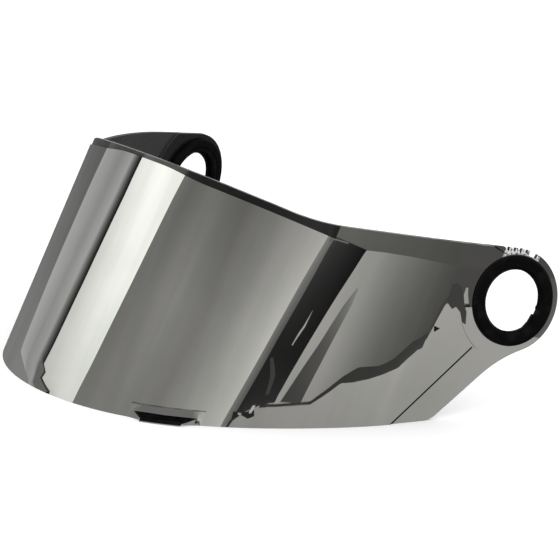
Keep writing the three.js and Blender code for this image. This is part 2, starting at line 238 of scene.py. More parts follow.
# the lens: a curved sheet with its rebate and ramp, and a plate set back at each ear
lens = {
    "columnTurn": 1.0 * deg,
    "flatMargin": 1,
    "rebateDepth": 0.6,
    "rebateWidth": 2.3,
    "rebateSideWidth": 3.8,
    "rebateBlend": (12, 38),
    "rebateEnd": 98.1,
    "rebateRun": 2.4,
    "bandEnd": 100.5,
    "toothCount": 4,
    "toothPitch": 8 * deg,
    "toothStart": 96 * deg,
    "toothDepth": 1.7,
    "toothFlankShare": 0.3,
    "notchStart": 82.5 * deg,
    "notchEnd": 93 * deg,
    "notchDepth": 2.3,
    "cornerStep": 8 * deg,
    "plateCuts": (165, 170),
    "hole": {"radius": 17.5, "start": 0, "end": 357 * deg, "step": 3 * deg},
    "topChamfer": 0.45,
    "round": {"width": 0.2, "segments": 2, "fromAngle": 50 * deg},
    "smoothAngle": 14 * deg,
    "facing": 0.4,  # a normal past this counts as facing that way
    "earFlatness": 0.99999,  # how close to the ear's normal a flat face there points
}
# the black finger tab let into the lower edge, and the ramp of the lens over it
tab = {
    "middle": 61.6,
    "width": 25.6,
    "height": 2.8,
    "foot": 17,
    "lipCurve": [(1.0, 1.2), (0.85, 1.3), (0.62, 1.5), (0.45, 1.95), (0.34, 2.5), (0.27, 3.85),
                 (0.2, 4)],
    "lipColumns": 16,
    "clearance": 0.3,
    "flangeThickness": 1.2,
    "flangeHeight": 6.5,
    "flangeColumns": 20,
    "rampHeight": 6.4,
    "rampReach": 2,
    "rampHalf": 6,
    "rampEase": 10.5,
    "rampColumns": 17,
    "foldWidth": 0.6,
    "round": {"width": 0.15, "segments": 2, "fromAngle": 40 * deg},
    "smoothAngle": 30 * deg,
}
beyond = 3  # how far a cutter reaches past what it cuts
through = (-10, 10)  # the depth of a cutter that goes right through


def fromRearEdge(square, along):
    angle = pattern["rearEdgeAngle"]
    return Vector((
        ear.x + square * math.sin(angle) - along * math.cos(angle),
        ear.y - square * math.cos(angle) - along * math.sin(angle),
    ))


def floorCrossing(square, halvings=40):
    low, high = 0, 2 * pattern["earHeight"]
    for _ in range(halvings):
        middle = (low + high) / 2
        point = fromRearEdge(square, middle)
        if point.y > floorV(point.x):
            low = middle
        else:
            high = middle
    return fromRearEdge(square, low)


def rimReach(angle):
    lineAngle = 90 * deg + topAngle
    if angle <= lineAngle:
        return rimRadius
    return rimRadius / math.cos(angle - lineAngle)


def toothOutline():
    def at(angle, depth):
        return polar(rimReach(angle) - depth, angle)

    points = []
    pitch, share = lens["toothPitch"], lens["toothFlankShare"]
    for k in range(lens["toothCount"]):
        start = lens["toothStart"] + k * pitch
        points += [
            at(start + pitch * share / 2, lens["toothDepth"]),
            at(start + pitch * share, lens["toothDepth"]),
            at(start + pitch * (1 - share), 0),
            at(start + pitch, 0),
        ]
    return points


# the left ear's rim has the notch and the teeth, the right ear's is plain
def rimOutline(start, side):
    if side < 0:
        return arc(ear, rimRadius, start, 90 * deg + topAngle)
    points = arc(ear, rimRadius, start, lens["notchStart"])
    points += arc(ear, rimRadius - lens["notchDepth"], lens["notchStart"], lens["notchEnd"])
    points += arc(ear, rimRadius, lens["notchEnd"], lens["toothStart"])
    return points + toothOutline()


def armOutline(side):
    fillet, inset = pattern["rearFillet"], pattern["rearEdgeInset"]
    rearAngle, corner = pattern["rearEdgeAngle"], floorCrossing(inset)
    floorAngle = math.atan(math.sin(bendAt(corner.x)[2]) * math.tan(pattern["lean"]))
    cornerRadius = pattern["cornerFillet"]
    trim = cornerRadius * math.tan((rearAngle - floorAngle) / 2)
    foot = Vector((corner.x - trim * math.cos(floorAngle), 0))
    foot.y = floorV(foot.x)
    footCentre = foot + cornerRadius * Vector((-math.sin(floorAngle), math.cos(floorAngle)))
    along = math.sqrt((rimRadius + fillet) ** 2 - (inset + fillet) ** 2)
    filletCentre = fromRearEdge(inset + fillet, along)
    toEar = math.atan2(ear.y - filletCentre.y, ear.x - filletCentre.x)
    points = [Vector((kneeEnd, -beyond)), Vector((foot.x, foot.y - beyond))]
    points += arc(footCentre, cornerRadius, floorAngle - 90 * deg, rearAngle - 90 * deg,
                  lens["cornerStep"])
    points += arc(filletCentre, fillet, rearAngle + 90 * deg, toEar)
    points += rimOutline(toEar - 180 * deg, side)[1:]
    points.append(Vector((kneeEnd, topV(kneeEnd))))
    return points


def stepRegion(lap):
    square = pattern["rearEdgeInset"] - pattern["stepFromRearEdge"] - lap
    high, low = [square + tilt for tilt in pattern["stepTilt"]]
    radius = pattern["stepRadius"] + lap
    corner = fromRearEdge(high, math.sqrt(radius ** 2 - high ** 2))
    foot = floorCrossing(low)
    start = math.atan2(corner.y - ear.y, corner.x - ear.x)
    end = -270 * deg + topAngle
    far = 2 * rimRadius
    return [
        Vector((foot.x - beyond, foot.y - 2 * beyond)),
        *arc(ear, radius, start, end),
        Vector((ear.x, ear.y + far)),
        Vector((ear.x + far, ear.y + far)),
        Vector((ear.x + far, foot.y - 2 * beyond)),
    ]


def tabNotch(grow):
    flank = math.atan2(tab["height"], (tab["width"] - tab["foot"]) / 2)
    foot = tab["foot"] / 2 + grow / math.sin(flank)
    top = foot + (tab["height"] + grow) / math.tan(flank)
    middle, up = tab["middle"], tab["height"] + grow
    return [
        Vector((middle - foot, floorV(middle - foot) - 2 * beyond)),
        Vector((middle + foot, floorV(middle + foot) - 2 * beyond)),
        Vector((middle + foot, floorV(middle + foot))),
        Vector((middle + top, floorV(middle + top) + up)),
        Vector((middle, floorV(middle) + up)),
        Vector((middle - top, floorV(middle - top) + up)),
        Vector((middle - foot, floorV(middle - foot))),
    ]


def rebateV(u):
    start, end = lens["rebateBlend"]
    x = min(max((abs(u) - start) / (end - start), 0), 1)
    blend = x * x * (3 - 2 * x)
    width = lens["rebateWidth"] * (1 - blend) + lens["rebateSideWidth"] * blend
    return frontHeight - width


def rebateAt(u):
    share = (abs(u) - lens["rebateEnd"]) / lens["rebateRun"]
    return lens["rebateDepth"] * (1 - min(max(share, 0), 1))


def rampAt(u):
    past = abs(u - tab["middle"]) - tab["rampHalf"]
    x = min(max(1 - past / tab["rampEase"], 0), 1)
    return tab["rampReach"] * x * x * (3 - 2 * x)


def lensSection(u):
    thickness, chamfer = pattern["thickness"], lens["topChamfer"]
    sunk, ramp, top = -rebateAt(u), rampAt(u), topV(u)
    return [
        (floorV(u, ramp), ramp),
        (floorV(u) + tab["height"], ramp),
        (floorV(u) + tab["rampHeight"], 0),
        (floorV(u) + tab["rampHeight"] + tab["foldWidth"], 0),
        (rebateV(u), 0),
        (rebateV(u), sunk),
        (top - chamfer, sunk),
        (top, sunk - chamfer),
        (top, -thickness),
        (floorV(u, -thickness), -thickness),
    ]


def columnStations():
    stations, nextTurn = [0], lens["columnTurn"]
    for k, row in enumerate(bendRows):
        if row[2] >= nextTurn:
            stations.append(k * pattern["rowStep"])
            nextTurn += lens["columnTurn"]
    stations = [u for u in stations if u < flatStart - lens["flatMargin"]]
    stations += [flatStart, lens["bandEnd"], lens["rebateEnd"]]
    stations += [lens["rebateEnd"] + lens["rebateRun"], ear.x]
    stations += [tab["middle"] + k for k in range(-tab["rampColumns"], tab["rampColumns"] + 1)]
    return sorted({side * u for u in stations for side in (-1, 1)})


# a grid with a column at each station, folded round a closed section
def foldedSheet(name, stations, section):
    count = len(section(stations[0]))
    bpy.ops.mesh.primitive_grid_add(
        x_subdivisions=len(stations) - 1, y_subdivisions=count, size=1)
    obj = bpy.context.object
    obj.name = name
    for vertex in obj.data.vertices:
        i = round((vertex.co.x + 0.5) * (len(stations) - 1))
        j = round((vertex.co.y + 0.5) * count) % count
        v, t = section(stations[i])[j]
        vertex.co = (stations[i] * mm, v * mm, t * mm)
    editing(obj, welded, lambda: bpy.ops.mesh.fill_holes(sides=0), outwards)
    return obj


def splitAt(obj, stations):
    def cut():
        for u in stations:
            selectAll()
            bpy.ops.mesh.bisect(plane_co=(u * mm, 0, 0), plane_no=(1, 0, 0), threshold=tiny)
    editing(obj, cut)


# in the flat end of the pattern the floor is a plane
def trimmedAtFloor(obj, side):
    turn, slope = bendRows[-1][2], math.tan(pattern["lean"])

    def cut():
        selectAll()
        bpy.ops.mesh.bisect(
            plane_co=(side * ear.x * mm, floorV(ear.x) * mm, 0),
            plane_no=(-side * math.sin(turn) * slope, 1, math.cos(turn) * slope),
            use_fill=True,
            clear_inner=True,
            threshold=tiny,
        )
    editing(obj, cut, outwards)


def bent(obj):
    for vertex in obj.data.vertices:
        vertex.co = bentPoint(*(vertex.co / mm))
        vertex.co.y = min(vertex.co.y, cadBox[1][1])
        vertex.co.z = max(vertex.co.z, 0)
    obj.data.update()


def makeLens():
    stations = columnStations()
    shell = foldedSheet("lensShell", stations, lensSection)
    thickness, drop = pattern["thickness"], pattern["stepDrop"]
    for side in (-1, 1):
        combined(shell, prism(handed(stepRegion(0), side), *through), "DIFFERENCE")
    for side in (-1, 1):
        plate = prism(handed(armOutline(side), side), -thickness - drop, -drop)
        lapped = prism(handed(stepRegion(pattern["stepLap"]), side), *through)
        combined(plate, lapped, "INTERSECT")
        hole = prism(handed(arc(ear, **lens["hole"]), side), *through)
        combined(plate, hole, "DIFFERENCE")
        trimmedAtFloor(plate, side)
        combined(shell, plate, "UNION")
    combined(shell, prism(tabNotch(tab["clearance"]), *through), "DIFFERENCE")
    # the ramp needs its columns, and the ear's plate is cut so that no face folds over itself
    rampReach = tab["rampHalf"] + tab["rampEase"]
    splitAt(shell, [u for u in stations if abs(u - tab["middle"]) < rampReach])
    plateCuts = (flatStart, *lens["plateCuts"], ear.x)
    splitAt(shell, [side * u for u in plateCuts for side in (-1, 1)])
    editing(shell, welded, outwards)
    return shell


# which material a face of the flat lens has
def lensFinish(centre, normal):
    u, v = centre.xy
    if normal.z < -lens["facing"]:
        return smokeInside
    if normal.z <= lens["facing"]:
        return smokeEdge
    inRebate = v > rebateV(u)
    # the top chamfer gets a painted highlight
    if inRebate and normal.y > lens["facing"]:
        return chamferHighlight
    foldV = floorV(u) + tab["rampHeight"]
    # the strip along the fold gets painted shade
    if foldV < v < foldV + tab["foldWidth"] and rampAt(u) > 0:
        return foldShadeCoat
    return bareBand if inRebate and abs(u) < lens["bandEnd"] else mirrorCoat


def paintFaces(obj, choose, materials):
    for material in materials:
        obj.data.materials.append(material)
    for face in obj.data.polygons:
        face.material_index = materials.index(choose(face.center / mm, face.normal))


def finishedPiece(obj, name, node, smoothAngle):
    obj.name = name
    only(obj)
    bpy.ops.object.shade_smooth_by_angle(angle=smoothAngle)
    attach(obj, "root")
    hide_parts(node)
    print(name, "has", len(obj.data.polygons), "faces")


def fill(tree, socket, value):
    if isinstance(value, bpy.types.NodeSocket):
        tree.links.new(value, socket)
    else:
        socket.default_value = (*value, 1) if socket.type == "RGBA" else value


def filled(tree, node, inputs):
    for key, value in inputs.items():
        fill(tree, node.inputs[key.replace("_", " ")], value)
    return node


def addNode(tree, kind, **inputs):
    return filled(tree, tree.nodes.new(kind), inputs)


def worked(tree, kind, operation, values):
    node = tree.nodes.new(kind)
    node.operation = operation
    for socket, value in zip(node.inputs, values):
        fill(tree, socket, value)
    return node.outputs


def mathNode(tree, operation, *values):
    return worked(tree, "ShaderNodeMath", operation, values)[0]


def times(tree, *values):
    return mathNode(tree, "MULTIPLY", *values)


def vectorNode(tree, operation, *values):
    outputs = worked(tree, "ShaderNodeVectorMath", operation, values)
    return outputs["Value" if operation in ("DOT_PRODUCT", "LENGTH") else "Vector"]


def ramped(tree, value, low, high, outLow=0.0, outHigh=1.0):
    node = tree.nodes.new("ShaderNodeMapRange")
    node.interpolation_type = "SMOOTHSTEP"
    names = ("Value", "From Min", "From Max", "To Min", "To Max")
    for name, number in zip(names, (value, low, high, outLow, outHigh)):
        fill(tree, node.inputs[name], number)
    return node.outputs["Result"]


# within a band of one value, soft at its two ends
def within(tree, value, low, high, soft):
    rising = ramped(tree, value, low - soft, low)
    falling = ramped(tree, value, high, high + soft, 1.0, 0.0)
    return times(tree, rising, falling)


def blended(tree, mask, first, second):
    node = tree.nodes.new("ShaderNodeMix")
    node.data_type = "RGBA"
    fill(tree, node.inputs[0], mask)
    for socket, value in zip((node.inputs[6], node.inputs[7]), (first, second)):
        fill(tree, socket, value)
    return node.outputs[2]


def objectPlace(tree):
    return tree.nodes.new("ShaderNodeTexCoord").outputs["Object"]


def objectAxes(tree):
    return addNode(tree, "ShaderNodeSeparateXYZ", Vector=objectPlace(tree)).outputs


def newGroup(name, inputs, outputs):
    group = bpy.data.node_groups.new(name, "ShaderNodeTree")
    for key, value in inputs.items():
        socket = group.interface.new_socket(key, in_out="INPUT", socket_type="NodeSocketFloat")
        socket.default_value = value
    for key in outputs:
        group.interface.new_socket(key, in_out="OUTPUT", socket_type="NodeSocketFloat")
    takes, puts = group.nodes.new("NodeGroupInput"), group.nodes.new("NodeGroupOutput")
    return group, takes.outputs, puts.inputs


# where a point lies on the ear, in mm: its reach from the ring's axis, square to and along the
# rear edge, and forward and up from the axis
def makeEarGroup():
    group, _, puts = newGroup("earPlace", {}, ("Reach", "Square", "Along", "Forward", "Up"))
    x, y, z = objectAxes(group)
    nearSide = addNode(group, "ShaderNodeCombineXYZ", X=mathNode(group, "ABSOLUTE", x), Y=y, Z=z)
    centre = bentPoint(ear.x, ear.y, -pattern["stepDrop"])
    across = (bentPoint(ear.x + 1, ear.y, 0) - bentPoint(ear.x, ear.y, 0)) / mm
    upward = (bentPoint(ear.x, ear.y + 1, 0) - bentPoint(ear.x, ear.y, 0)) / mm
    offset = vectorNode(group, "SUBTRACT", nearSide.outputs[0], centre)
    offset = vectorNode(group, "MULTIPLY", offset, [1 / mm] * 3)
    sine, cosine = math.sin(pattern["rearEdgeAngle"]), math.cos(pattern["rearEdgeAngle"])
    directions = {
        "Square": across * sine - upward * cosine,
        "Along": -across * cosine - upward * sine,
        "Forward": -across,
        "Up": upward,
    }
    for name, direction in directions.items():
        group.links.new(vectorNode(group, "DOT_PRODUCT", offset, direction), puts[name])
    group.links.new(vectorNode(group, "LENGTH", offset), puts["Reach"])
    return group


# blotches or grain: the plain noise, and a mask that rises as the noise goes from Low to High
def makeMottleGroup():
    starts = {"Scale": 100, "Detail": 3, "Roughness": 0.55, "Low": 0, "High": 1}
    group, given, puts = newGroup("mottle", starts, ("Plain", "Mask"))
    plain = addNode(group, "ShaderNodeTexNoise", Vector=objectPlace(group), Scale=given["Scale"],
                    Detail=given["Detail"], Roughness=given["Roughness"]).outputs[0]
    group.links.new(plain, puts["Plain"])
    group.links.new(ramped(group, plain, given["Low"], given["High"]), puts["Mask"])
    return group


def placed(tree, group, **inputs):
    node = tree.nodes.new("ShaderNodeGroup")
    node.node_tree = group
    return filled(tree, node, inputs).outputs


earGroup = makeEarGroup()
mottleGroup = makeMottleGroup()
sheenRange = (0.3, 0.7)  # the part of a plain noise over which a roughness changes
lensIor = 1.58


# a finish: its own nodes round one Principled shader; its look has a colour, the range of its
# roughness and its mottles
class Finish:
    def __init__(self, name, look, **more):
        self.look = look
        self.material = bpy.data.materials.new(name)
        self.material.use_nodes = True
        self.tree = self.material.node_tree
        plain = {"Base Color": look["color"], "Roughness": look["roughness"][0], **more}
        self.shader = filled(self.tree, self.tree.nodes["Principled BSDF"], plain)

    def feed(self, source, socket):
        self.tree.links.new(source, self.shader.inputs[socket])

    def mottle(self, name):
        return placed(self.tree, mottleGroup, **self.look[name])

    def rough(self, value, low=0.0, high=1.0):
        return ramped(self.tree, value, low, high, *self.look["roughness"])


# in mm; three numbers are the two ends of a band and how soft they are
coatLook = {
    "color": (0.8, 0.8, 0.785),
    "smudged": (0.76, 0.76, 0.745),
    "smudge": {"Scale": 28, "Detail": 4, "Low": 0.42, "High": 0.72},
    "roughness": (0.006, 0.014),
    # the dark line along the step and its arch is painted shade
    "stepShade": (0.012, 0.012, 0.011),
    "stepShadeAcross": (-0.6, 0.5, 0.08),
    "stepShadeStart": (0.6, 1.2),
    "stepShadeLength": 66,
    "archReach": (27, 27.4, 0.15),
    "archUp": (-25, -18, 1.5),
    "archShare": 0.6,
    # the bare teeth's pale grey and dark flecks are a painted reflection
    "clear": (0.62, 0.62, 0.61),
    "clearFacetDark": (0.06, 0.06, 0.06),
    "clearFacetGlints": {"Scale": 900, "Detail": 2, "Low": 0.5, "High": 0.62},
    "clearReach": (20.6, 20.9),
    "clearForward": (-4, 13.2, 0.8),
    "clearUp": (12, 14),
    "clearRoughness": 0.2,
}


# painted shade: a dark line painted beside the step, from its corner down to the floor, and its
# arch below the ear
def stepShadeMask(tree, place, look):
    squareAt = pattern["rearEdgeInset"] - pattern["stepFromRearEdge"]
    top, foot = [squareAt + tilt for tilt in pattern["stepTilt"]]
    alongTop = math.sqrt(pattern["stepRadius"] ** 2 - top ** 2)
    slope = (foot - top) / (look["stepShadeLength"] - alongTop)
    start = top - slope * alongTop
    low, high, soft = look["stepShadeAcross"]
    drift = times(tree, place["Along"], slope)
    across = mathNode(tree, "SUBTRACT", place["Square"], drift)
    line = within(tree, across, start + low, start + high, soft)
    starting = ramped(tree, place["Along"], *[alongTop + past for past in look["stepShadeStart"]])
    arch = times(tree, within(tree, place["Reach"], *look["archReach"]),
                 within(tree, place["Up"], *look["archUp"]))
    arch = times(tree, arch, look["archShare"])
    return mathNode(tree, "MAXIMUM", times(tree, line, starting), arch)


def makeMirrorCoat():
    look = coatLook
    coat = Finish("mirrorCoat", look, Metallic=1.0)
    tree, place = coat.tree, placed(coat.tree, earGroup)
    smudge = coat.mottle("smudge")["Mask"]
    color = blended(tree, smudge, look["color"], look["smudged"])
    # the dark line along the step is painted shade
    color = blended(tree, stepShadeMask(tree, place, look), color, look["stepShade"])
    # the ratchet teeth are left without the coat; their pale grey and dark flecks are a painted
    # reflection of the bright and dark room in the tooth facets
    clear = times(tree, ramped(tree, place["Reach"], *look["clearReach"]),
                  within(tree, place["Forward"], *look["clearForward"]))
    clear = times(tree, clear, ramped(tree, place["Up"], *look["clearUp"]))
    bare = blended(tree, coat.mottle("clearFacetGlints")["Mask"], look["clear"], look["clearFacetDark"])
    coat.feed(blended(tree, clear, color, bare), "Base Color")
    coat.feed(mathNode(tree, "SUBTRACT", 1.0, clear), "Metallic")
    clearRough = times(tree, clear, look["clearRoughness"])
    coat.feed(mathNode(tree, "MAXIMUM", coat.rough(smudge), clearRough), "Roughness")
    return coat.material


smokeLook = {
    "color": (0.032, 0.032, 0.033),
    "plate": (0.008, 0.008, 0.0085),
    "plateEnd": (28.6, 30.4),
    "plateWander": 2.0,
    "roughness": (0.16, 0.3),
    "blotches": {"Scale": 35, "Detail": 4},
    "blotchShare": 0.35,
    "paler": 1.4,
    "sheen": {"Scale": 60, "Detail": 3},
}


def makeSmokeInside():
    look = smokeLook
    smoke = Finish("smokeInside", look, IOR=lensIor)
    tree, place = smoke.tree, placed(smoke.tree, earGroup)
    blotch = times(tree, smoke.mottle("blotches")["Plain"], look["blotchShare"])
    wander = times(tree, blotch, look["plateWander"])
    reach = mathNode(tree, "ADD", place["Reach"], wander)
    plate = ramped(tree, reach, *look["plateEnd"], 1.0, 0.0)
    shade = blended(tree, blotch, look["color"], [c * look["paler"] for c in look["color"]])
    smoke.feed(blended(tree, plate, shade, look["plate"]), "Base Color")
    smoke.feed(smoke.rough(smoke.mottle("sheen")["Plain"], *sheenRange), "Roughness")
    return smoke.material


bandLook = {
    "color": (0.006, 0.006, 0.006),
    "far": (0.045, 0.045, 0.044),
    "farSheenEnd": (12, 30),
    "roughness": (0.06, 0.16),
    "streaks": {"Scale": 120, "Detail": 4, "Low": 0.35, "High": 0.7},
    "streakShare": 0.5,
}


# the band in the rebate that is left without the coat; towards the far side it is painted paler, a
# painted sheen
def makeBareBand():
    look = bandLook
    band = Finish("bareBand", look, IOR=lensIor)
    tree = band.tree
    low, high = look["farSheenEnd"]
    # painted sheen: the band is paler towards the far side
    far = ramped(tree, objectAxes(tree)[0], low * mm, high * mm, 1.0, 0.0)
    shade = blended(tree, far, look["color"], look["far"])
    streaks = band.mottle("streaks")["Mask"]
    streaked = times(tree, streaks, look["streakShare"])
    band.feed(blended(tree, streaked, shade, look["color"]), "Base Color")
    band.feed(band.rough(streaks), "Roughness")
    return band.material


edgeLook = {
    "color": (0.03, 0.03, 0.03),
    "paler": 2.2,
    "roughness": (0.12, 0.3),
    "grain": {"Scale": 450, "Detail": 4},
}


def makeSmokeEdge():
    look = edgeLook
    edge = Finish("smokeEdge", look, IOR=lensIor)
    grain = edge.mottle("grain")["Plain"]
    paler = [c * look["paler"] for c in look["color"]]
    edge.feed(blended(edge.tree, grain, look["color"], paler), "Base Color")
    edge.feed(edge.rough(grain, *sheenRange), "Roughness")
    return edge.material


# the fold above the lift tab: painted shade, the coat painted darker along the crease
foldShadeLook = {
    "color": (0.3, 0.3, 0.29),
    "other": (0.46, 0.46, 0.45),
    "roughness": (0.05, 0.12),
    "blotches": {"Scale": 160, "Detail": 3, "Low": 0.35, "High": 0.65},
}
# the chamfer along the top: its pale grey is a painted highlight, for the light it catches
chamferHighlightLook = {
    "color": (0.26, 0.26, 0.255),
    "other": (0.12, 0.12, 0.118),
    "roughness": (0.08, 0.2),
    "blotches": {"Scale": 90, "Detail": 3, "Low": 0.4, "High": 0.7},
}


def makeBlotched(name, look, **more):
    finish = Finish(name, look, **more)
    mask = finish.mottle("blotches")["Mask"]
    finish.feed(blended(finish.tree, mask, look["color"], look["other"]), "Base Color")
    finish.feed(finish.rough(mask), "Roughness")
    return finish.material


# moulded black plastic: fine grain, and a little paler where handling has polished it
blackLook = {
    "color": (0.0012, 0.0012, 0.0012),
    "worn": (0.006, 0.006, 0.006),
    "wear": {"Scale": 140, "Detail": 5, "Low": 0.45, "High": 0.75},
    "grain": {"Scale": 2600, "Detail": 2},
    "grainDepth": 0.03,
    "ior": 1.5,
    "specular": 0.16,
    # a painted reflection of the floor along the lip's lower rim
    "lipRimReflection": (0.3, 0.3, 0.29),
    "lipRimReflectionEnd": (0.25, 0.6),
}


def makeBlackPlastic(name, roughness, grainStrength):
    look = {**blackLook, "roughness": roughness}
    black = Finish(name, look, IOR=look["ior"], Specular_IOR_Level=look["specular"])
    tree, wear, grain = black.tree, black.mottle("wear"), black.mottle("grain")
    black.feed(blended(tree, wear["Mask"], look["color"], look["worn"]), "Base Color")
    black.feed(black.rough(wear["Plain"], *sheenRange), "Roughness")
    bump = addNode(tree, "ShaderNodeBump", Strength=grainStrength,
                   Distance=look["grainDepth"] * mm, Height=grain["Plain"])
    black.feed(bump.outputs[0], "Normal")
    return black


# the lip's lower rim is painted pale grey: a painted reflection of the pale floor
def makeTabPlastic(name, roughness, grainStrength):
    black = makeBlackPlastic(name, roughness, grainStrength)
    low, high = black.look["lipRimReflectionEnd"]
    rim = ramped(black.tree, objectAxes(black.tree)[2], low * mm, high * mm, 1.0, 0.0)
    plain = black.shader.inputs["Base Color"].links[0].from_socket
    black.feed(blended(black.tree, rim, plain, black.look["lipRimReflection"]), "Base Color")
    return black


mirrorCoat = makeMirrorCoat()
foldShadeCoat = makeBlotched("foldShadeCoat", foldShadeLook, Metallic=1.0)
smokeInside = makeSmokeInside()
bareBand = makeBareBand()
smokeEdge = makeSmokeEdge()
chamferHighlight = makeBlotched("chamferHighlight", chamferHighlightLook, IOR=lensIor)
ringPlastic = makeBlackPlastic("ringPlastic", (0.24, 0.38), 0.15).material
clampPlastic = makeBlackPlastic("clampPlastic", (0.4, 0.55), 0.3).material
tabPlastic = makeTabPlastic("tabPlastic", (0.2, 0.34), 0.1).material
print("finishes ready")


# a flat face in the ear keeps its own normal, so the coat mirrors straight lines there
def flattenEars(obj):
    normal = (bentPoint(ear.x, ear.y, 1) - bentPoint(ear.x, ear.y, 0)).normalized()
    for face in obj.data.polygons:
        own = Vector((abs(face.normal.x), face.normal.y, face.normal.z))
        own = own if face.normal.x * face.center.x > 0 else Vector((own.x, -own.y, -own.z))
        if own.dot(normal) > lens["earFlatness"]:
            face.use_smooth = False


lensShell = makeLens()
paintFaces(lensShell, lensFinish,
           [mirrorCoat, smokeInside, bareBand, smokeEdge, chamferHighlight, foldShadeCoat])
rounded(lensShell, **lens["round"])
bent(lensShell)
finishedPiece(lensShell, "visorLens", "lens_shell", lens["smoothAngle"])
flattenEars(lensShell)


def tabSection(u):
    height, reach = tab["height"], tab["lipCurve"][-1][1]
    back = -pattern["thickness"] - tab["clearance"] - tab["flangeThickness"]
    points = [(floorV(u, back), back), (floorV(u) + height, back)]
    points += [(floorV(u) + height * share, t) for share, t in tab["lipCurve"]]
    points.append((floorV(u, reach), reach))
    return points


def flangeSection(u):
    inner = -pattern["thickness"] - tab["clearance"]
    back, high = inner - tab["flangeThickness"], floorV(u) + tab["flangeHeight"]
    return [(floorV(u, back), back), (high, back), (high, inner), (floorV(u, inner), inner)]


def evenStations(half, count):
    return [tab["middle"] - half + 2 * half * k / count for k in range(count + 1)]


def makeTab():
    half = tab["width"] / 2
    stations = evenStations(half, tab["lipColumns"])
    lip = foldedSheet("liftTab", stations, tabSection)
    combined(lip, prism(tabNotch(0), *through), "INTERSECT")
    flangeStations = evenStations(half + tab["flangeHeight"] / 2, tab["flangeColumns"])
    combined(lip, foldedSheet("tabFlange", flangeStations, flangeSection), "UNION")
    splitAt(lip, stations)
    editing(lip, welded, outwards)
    rounded(lip, **tab["round"])
    bent(lip)
    return lip


liftTab = makeTab()
liftTab.data.materials.append(tabPlastic)
finishedPiece(liftTab, "liftTab", "lift_tab", tab["smoothAngle"])

# the bearing ring in each ear and the collar that clamps it from inside
ring = {
    "radius": 20.4,
    "proud": 0.5,
    "flange": 1.0,
    "bevel": 0.4,
    "bevelReach": 1.2,
    "bore": 13.9,
    "chamfer": 1.3,
    "neck": 17.2,
    "counterbore": 15.4,
    "boreLength": 2.6,
    "seat": 0.3,
    "lug": (-44 * deg, -8.5 * deg),
    "lugStep": 3 * deg,
    "lugHeight": 1.2,
    "slotWidth": 2.0,
    "slotDepth": 1.3,
    "nibWidth": 6 * deg,
    "nibHeight": 0.6,
    "clampFront": -3.1,
    "clampBack": -4.8,
    "clampInner": 17.5,
    "clampRadius": 21.2,
    "turns": 120,
    "weld": 1e-6,
    "round": {"width": 0.2, "segments": 3, "fromAngle": 15 * deg},
    "clampRound": {"width": 0.2, "segments": 2, "fromAngle": 15 * deg},
    "smoothAngle": 25 * deg,
}


# a closed profile of (radius, t) turned about the ear's axis
def turned(profile):
    bpy.ops.mesh.primitive_circle_add(vertices=len(profile), radius=mm)
    obj = bpy.context.object
    for vertex, (radius, t) in zip(obj.data.vertices, profile):
        vertex.co = Vector((ear.x + radius, ear.y, t)) * mm
    editing(
        obj,
        selectAll,
        lambda: bpy.ops.mesh.spin(steps=ring["turns"], angle=360 * deg,
                                  center=(ear.x * mm, ear.y * mm, 0), axis=(0, 0, 1)),
        lambda: welded(ring["weld"]),
        outwards,
    )
    return obj


def makeRing():
    front, bore = ring["proud"], ring["bore"]
    seat, boreEnd, back = front - ring["flange"], front - ring["boreLength"], ring["clampBack"]
    chamferEnd, seated = front - ring["chamfer"], bore + ring["seat"]
    body = turned([
        (bore + ring["chamfer"], front), (bore, chamferEnd), (bore, boreEnd),
        (ring["counterbore"], boreEnd), (ring["counterbore"], back),
        (ring["neck"], back), (ring["neck"], seat), (ring["radius"], seat),
        (ring["radius"], front - ring["bevel"]), (ring["radius"] - ring["bevelReach"], front),
    ])
    start, end = ring["lug"]
    lug = arc(ear, seated, start, end, ring["lugStep"])
    lug.append(polar(bore - ring["lugHeight"], end))
    lug.append(polar(bore - ring["lugHeight"] / 2, (start + end) / 2))
    half, reach = ring["slotWidth"] / 2, bore + ring["slotDepth"]
    slotAt = end + math.asin(ring["slotWidth"] / bore)
    along, square = polar(1, slotAt) - ear, polar(1, slotAt + 90 * deg) - ear
    corners = ((0, -half), (reach, -half), (reach, half), (0, half))
    slot = [ear + along * x + square * y for x, y in corners]
    nibStart = slotAt + math.asin(half / bore)
    nibEnd = nibStart + ring["nibWidth"]
    nib = arc(ear, seated, nibStart, nibEnd) + arc(ear, bore - ring["nibHeight"], nibEnd, nibStart)
    combined(body, prism(slot, boreEnd - beyond, front + beyond), "DIFFERENCE")
    combined(body, prism(lug, boreEnd, chamferEnd), "UNION")
    combined(body, prism(nib, boreEnd, chamferEnd), "UNION")
    editing(body, welded, outwards)
    rounded(body, **ring["round"])
    bent(body)
    return body


def makeClamp():
    inner, outer = ring["clampInner"], ring["clampRadius"]
    front, back = ring["clampFront"], ring["clampBack"]
    clamp = turned([
        (inner, front), (inner, back),
        (outer - ring["bevel"], back), (outer, back + ring["bevel"]), (outer, front),
    ])
    rounded(clamp, **ring["clampRound"])
    bent(clamp)
    return clamp


def otherHand(obj):
    only(obj)
    bpy.ops.object.duplicate()
    copy = bpy.context.object
    for vertex in copy.data.vertices:
        vertex.co.x = -vertex.co.x
    editing(copy, outwards)
    return copy


for build, name, node, slot, finish in (
    (makeRing, "PivotRing", "_pivot_ring", "black_ring", ringPlastic),
    (makeClamp, "RetainingRing", "_retaining_ring", "black_clamp", clampPlastic),
):
    left = build()
    left.data.materials.append(finish)
    right = otherHand(left)
    finishedPiece(left, "left" + name, "left" + node, ring["smoothAngle"])
    finishedPiece(right, "right" + name, "right" + node, ring["smoothAngle"])

# the photographer's place
camera = {
    "azimuth": 49.26 * deg,
    "elevation": 15.482 * deg,
    "roll": 3.866 * deg,
    "focalPixels": 4958.3,
    "framePixels": 560,
    "sensor": 36,
    "distance": 2228.75,
    "slide": (32.822, -6.824),
    "aim": (0, -7.714, 50),
    "clipEnd": 100,
}


